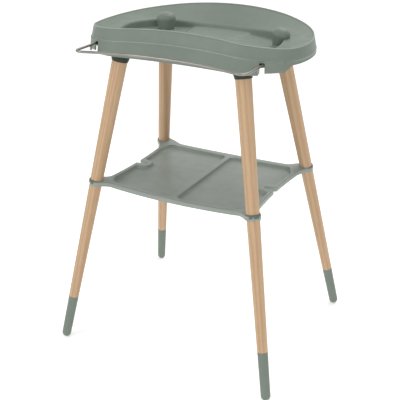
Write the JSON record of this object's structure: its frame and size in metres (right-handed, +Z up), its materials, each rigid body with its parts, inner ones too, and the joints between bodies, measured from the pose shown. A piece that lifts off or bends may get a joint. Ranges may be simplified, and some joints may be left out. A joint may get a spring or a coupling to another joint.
{
  "type": "changing table",
  "caption": "Baby changing table: kidney-shaped moulded tray on splayed wooden legs, with a sliding towel rail and a divided storage tray below.",
  "frame": {"origin": "on the floor, at the centre of the four feet", "axes": "+Z up, -Y towards the parent at the front where the towel rail is, +X to the right seen from the front"},
  "size_m": [0.6918, 0.6028, 0.9658],
  "materials": {
    "green_plastic": "satin",
    "deck_plastic": "matt",
    "dark_plastic": "satin",
    "guide_plastic": "matt",
    "beech": "clear lacquer",
    "rail_steel": "brushed",
    "zinc_steel": "zinc plated"
  },
  "bodies": {
    "table": {"changing_tray": "green_plastic", "flange_screws": "zinc_steel", "foot_cap_back_left": "green_plastic", "foot_cap_back_right": "green_plastic", "foot_cap_front_left": "green_plastic", "foot_cap_front_right": "green_plastic", "leg_back_left": "beech", "leg_back_right": "beech", "leg_bolts": "zinc_steel", "leg_collar_back_left": "dark_plastic", "leg_collar_back_right": "dark_plastic", "leg_collar_front_left": "dark_plastic", "leg_collar_front_right": "dark_plastic", "leg_front_left": "beech", "leg_front_right": "beech", "leg_inserts": "zinc_steel", "mat_peg_left": "green_plastic", "mat_peg_right": "green_plastic", "rail_clip_left": "guide_plastic", "rail_clip_right": "guide_plastic", "shelf_ring_back_left": "dark_plastic", "shelf_ring_back_right": "dark_plastic", "shelf_ring_front_left": "dark_plastic", "shelf_ring_front_right": "dark_plastic", "skirt_frame": "green_plastic", "storage_tray": "green_plastic", "support_deck": "deck_plastic", "tray_screws": "zinc_steel"},
    "rail": {"towel_rail": "rail_steel", "rail_stops": "guide_plastic", "rail_pegs": "rail_steel"}
  },
  "joints": [
    {"name": "rail_slide", "type": "slide", "parent": "table", "child": "rail", "axis": [0, -1, 0], "range_m": [0, 0.045]}
  ]
}
